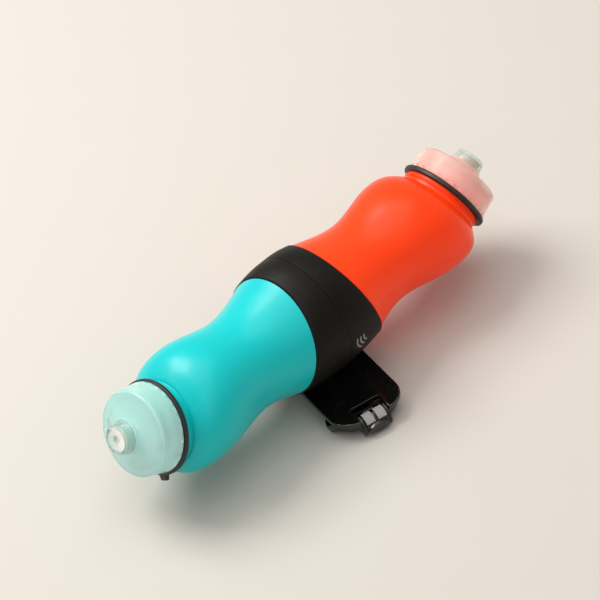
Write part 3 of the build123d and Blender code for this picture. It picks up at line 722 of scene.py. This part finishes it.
class BOTTLE_OT_band(bpy.types.Operator):
    """Model the two halves of the band"""

    bl_idname = "bottle.band"
    bl_label = "Band"

    def execute(self, context):
        for side, matrix in HALVES.items():
            rings = [section(0.0, 0.0, 0.0, 34.2), section(0.04, 0.0, 0.0, 34.34)]
            rings.append(section(0.3, 0.01, 0.2, 34.49))
            middle = smooth_stations([
                (0.6, 0.02, 0.4, 34.5), (11.3, 0.4, 7.5, 34.2), (21.6, 0.76, 14.4, 32.98),
            ], 14)
            rings += [section(*station) for station in middle]
            rings += [
                section(22.1, 0.78, 14.8, 32.68), section(22.42, 0.79, MOUTH_LEAN, 32.4),
                section(22.58, 0.8, MOUTH_LEAN, 32.0), section(MOUTH, 0.8, MOUTH_LEAN, 31.6),
                section(MOUTH, 0.8, MOUTH_LEAN, 30.62), section(22.5, 0.78, MOUTH_LEAN, 30.5),
                section(16.5, -0.83, MOUTH_LEAN, 30.5), section(16.5, -0.83, MOUTH_LEAN, 30.2),
                section(13.9, -1.5, MOUTH_LEAN, 24.0), section(0.0, 0.0, 0.0, 24.0),
            ]
            piece = turned_shell(side + "_collar", rings, segments=128)
            alone(piece)
            bpy.ops.object.mode_set(mode="EDIT")
            bpy.ops.mesh.select_all(action="SELECT")
            bpy.ops.mesh.bisect(
                plane_co=(0.0, 0.0, BAND_FLAT * MM), plane_no=(0.0, 0.0, -1.0), use_fill=True,
                clear_outer=True,
            )
            bpy.ops.object.mode_set(mode="OBJECT")
            place(piece, matrix)
            soften(piece, 0.0, 30.0)
            paint(piece, bpy.data.materials["Band plastic"])
            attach(piece, "bottle")
            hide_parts("collar_" + side)
            if side == "orange":
                self.wave_mark(piece)
        return {"FINISHED"}

    def wave_mark(self, collar):
        """Three plain arcs, printed in light grey on the side of the band."""
        shape = bpy.context.scene.bottle_shape
        arcs = []
        for step, share in enumerate((1.0, 0.8, 0.6)):
            bpy.ops.object.select_all(action="DESELECT")
            bpy.ops.mesh.primitive_grid_add(x_subdivisions=28, y_subdivisions=2, size=1.0)
            arc = bpy.context.object
            arc.scale = (shape.mark_length * share, WAVE_STROKE, 1.0)
            settle(arc)
            apply_modifier(
                arc, "SIMPLE_DEFORM", deform_method="BEND", deform_axis="Z", angle=math.radians(75)
            )
            arc.location = (0.0, step * WAVE_SPACING, 0.0)
            settle(arc)
            arcs.append(arc)
        mark = join(arcs)
        mark.name = "wave_mark"
        lean = Matrix.Rotation(math.radians(103), 4, "X") @ Matrix.Rotation(math.radians(-70), 4, "Z")
        spot = Matrix.Translation(Vector((5.0, -35.0, -8.0)) * MM)
        place(mark, ORANGE @ spot @ lean)
        apply_modifier(
            mark, "SHRINKWRAP", target=collar, wrap_method="NEAREST_SURFACEPOINT",
            offset=shape.mark_height, wrap_mode="OUTSIDE_SURFACE",
        )
        apply_modifier(mark, "SOLIDIFY", thickness=shape.mark_height, offset=0.0)
        soften(mark, 0.0, 40.0)
        paint(mark, bpy.data.materials["Mark ink"])
        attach(mark, "bottle")


class BOTTLE_OT_clip(bpy.types.Operator):
    """Finish the belt clip, its latch and the rubber rings"""

    bl_idname = "bottle.clip"
    bl_label = "Clip and rings"

    def execute(self, context):
        width = context.scene.bottle_shape.edge_softness
        looks = bpy.data.materials
        finished_copy("clip_plate", "clip_plate_finished", width, looks["Clip plastic"], "clip")
        finished_copy("clip_jaw", "clip_jaw_finished", width, looks["Clip plastic"], "jaw")
        latch = finished_copy(
            "latch", "latch_finished", 0.00015, looks["Clip plastic"], "latch"
        )
        latch.data.materials.append(looks["Button plastic"])
        self.paint_button(latch)
        finished_copy("latch_pads", "latch_pads_finished", 0.0002, looks["Pad rubber"], "latch")
        for side in HALVES:
            finished_copy(
                "neck_ring_" + side, "neck_ring_" + side + "_finished", 0.0002, looks["Ring rubber"],
                "bottle",
            )
        plain = {
            "jaw_grip": "Grip rubber", "jaw_spring": "Steel", "hinge_pin": "Steel",
            "latch_pin": "Steel", "latch_spring": "Steel", "pivot_screw": "Steel",
            "pivot_retainer": "Steel",
            "collar_screws": "Steel", "pivot_washer": "Washer plastic", "clip_pivot": "Washer plastic",
            "cap_liner_orange": "Liner rubber", "cap_liner_teal": "Liner rubber",
            "base_cushion_orange": "Cushion foam", "base_cushion_teal": "Cushion foam",
        }
        for node, look in plain.items():
            paint(frame["nodes"][node], looks[look])
        return {"FINISHED"}

    def paint_button(self, latch):
        """The oval face at the outer end of the latch is dull."""
        joint = JOINTS["latch_hinge"]
        across = Vector(joint["axis"]).normalized()
        outward = across.cross(Vector(JOINTS["clip_swivel"]["axis"])).normalized()
        reach = max(corner.co.dot(outward) for corner in latch.data.vertices)
        for face in latch.data.polygons:
            if face.normal.dot(outward) > 0.9 and face.center.dot(outward) > reach - 0.0004:
                face.material_index = 1


FLOOR_SHADE = 0.985  # how much darker the card's mottling is
CAMERA_PLACE = (-0.79951, -1.05501, 1.25027)
CAMERA_ANGLES = (-36.8, 41.9, -12.007)  # azimuth, elevation and roll, in degrees


class BOTTLE_OT_stage(bpy.types.Operator):
    """Lay the floor and place the lights and the camera"""

    bl_idname = "bottle.stage"
    bl_label = "Stage"

    def execute(self, context):
        scene = context.scene
        bpy.ops.object.select_all(action="DESELECT")
        bpy.ops.mesh.primitive_plane_add(size=8.0, location=(0.0, 0.0, 0.0))
        floor = context.object
        floor.name = "floor"
        material = bpy.data.materials.new("Floor card")
        material.use_nodes = True
        tree = material.node_tree
        shader = tree.nodes["Principled BSDF"]
        spot = tree.nodes.new("ShaderNodeTexCoord").outputs["Object"]
        mix = tree.nodes.new("ShaderNodeMix")
        mix.data_type = "RGBA"
        colour = tuple(scene.bottle_finish.floor)
        mix.inputs["A"].default_value = (*colour, 1.0)
        mix.inputs["B"].default_value = (*(c * FLOOR_SHADE for c in colour), 1.0)
        tree.links.new(noise_node(tree, spot, 30.0, 6.0), mix.inputs["Factor"])
        tree.links.new(mix.outputs["Result"], shader.inputs["Base Color"])
        shader.inputs["Roughness"].default_value = 0.85
        shader.inputs["Specular IOR Level"].default_value = 0.15
        floor.data.materials.append(material)

        self.camera(scene)
        right = Vector((0.71, -0.70, 0.0))
        ahead = Vector((0.70, 0.71, 0.0))
        up = Vector((0.0, 0.0, 1.0))
        target = Vector((0.0, 0.0, 0.03))
        self.lamp(
            "key", target, -right * 0.75 + ahead * 0.35 + up * 1.15,
            size=0.8, power=18.5, colour=(1.0, 0.985, 0.955),
        )
        self.lamp(
            "fill", target, right * 0.3 - ahead * 1.1 + up * 1.3,
            size=1.4, power=4.0, colour=(1.0, 0.985, 0.97),
        )
        self.lamp(
            "overhead", target, ahead * 0.2 + up * 1.9,
            size=1.6, power=12.5, colour=(1.0, 0.985, 0.97),
        )

        world = bpy.data.worlds.new("Studio air")
        scene.world = world
        world.use_nodes = True
        back = world.node_tree.nodes["Background"]
        back.inputs["Color"].default_value = (1.0, 0.985, 0.965, 1.0)
        back.inputs["Strength"].default_value = 0.45
        scene.view_settings.view_transform = "Standard"
        scene.view_settings.look = "None"
        scene.view_settings.exposure = 0.0
        return {"FINISHED"}

    def camera(self, scene):
        """A long lens well above the table, looking down along the bottle's front quarter."""
        data = bpy.data.cameras.new("camera")
        data.sensor_width = 36.0
        data.lens = 208.27
        data.clip_start = 0.05
        data.clip_end = 30.0
        camera = bpy.data.objects.new("camera", data)
        scene.collection.objects.link(camera)
        azimuth, elevation, roll = (math.radians(a) for a in CAMERA_ANGLES)
        turn = Matrix.Rotation(azimuth, 4, "Z") @ Matrix.Rotation(math.pi / 2 - elevation, 4, "X")
        turn = turn @ Matrix.Rotation(roll, 4, "Z")
        camera.matrix_world = Matrix.Translation(CAMERA_PLACE) @ turn
        scene.camera = camera

    def lamp(self, name, target, offset, size, power, colour):
        """A square lamp at an offset from the target, turned to face it."""
        data = bpy.data.lights.new(name, "AREA")
        data.shape = "SQUARE"
        data.size = size
        data.energy = power
        data.color = colour
        lamp = bpy.data.objects.new(name, data)
        bpy.context.scene.collection.objects.link(lamp)
        aim = (-offset).to_track_quat("-Z", "Y").to_matrix().to_4x4()
        lamp.matrix_world = Matrix.Translation(target + offset) @ aim


class BOTTLE_PT_panel(bpy.types.Panel):
    """Lists the bottle's settings and steps"""

    bl_idname = "BOTTLE_PT_panel"
    bl_label = "Squeeze bottle"
    bl_space_type = "VIEW_3D"
    bl_region_type = "UI"
    bl_category = "Bottle"

    def draw(self, context):
        layout = self.layout
        for settings in (context.scene.bottle_shape, context.scene.bottle_finish):
            box = layout.box()
            for name in settings.bl_rna.properties.keys():
                if name not in ("rna_type", "name"):
                    box.prop(settings, name)
        for operator in STEPS:
            layout.operator(operator.bl_idname)


STEPS = (
    BOTTLE_OT_finishes,
    BOTTLE_OT_flasks,
    BOTTLE_OT_caps,
    BOTTLE_OT_nozzles,
    BOTTLE_OT_band,
    BOTTLE_OT_clip,
    BOTTLE_OT_stage,
)
CLASSES = (BottleShapeSettings, BottleFinishSettings, *STEPS, BOTTLE_PT_panel)


def register():
    for cls in CLASSES:
        bpy.utils.register_class(cls)
    bpy.types.Scene.bottle_shape = PointerProperty(type=BottleShapeSettings)
    bpy.types.Scene.bottle_finish = PointerProperty(type=BottleFinishSettings)


def unregister():
    del bpy.types.Scene.bottle_finish
    del bpy.types.Scene.bottle_shape
    for cls in reversed(CLASSES):
        bpy.utils.unregister_class(cls)


def main():
    register()
    bpy.ops.bottle.finishes()
    bpy.ops.bottle.flasks()
    bpy.ops.bottle.caps()
    bpy.ops.bottle.nozzles()
    bpy.ops.bottle.band()
    bpy.ops.bottle.clip()
    bpy.ops.bottle.stage()


if __name__ == "__main__":
    main()
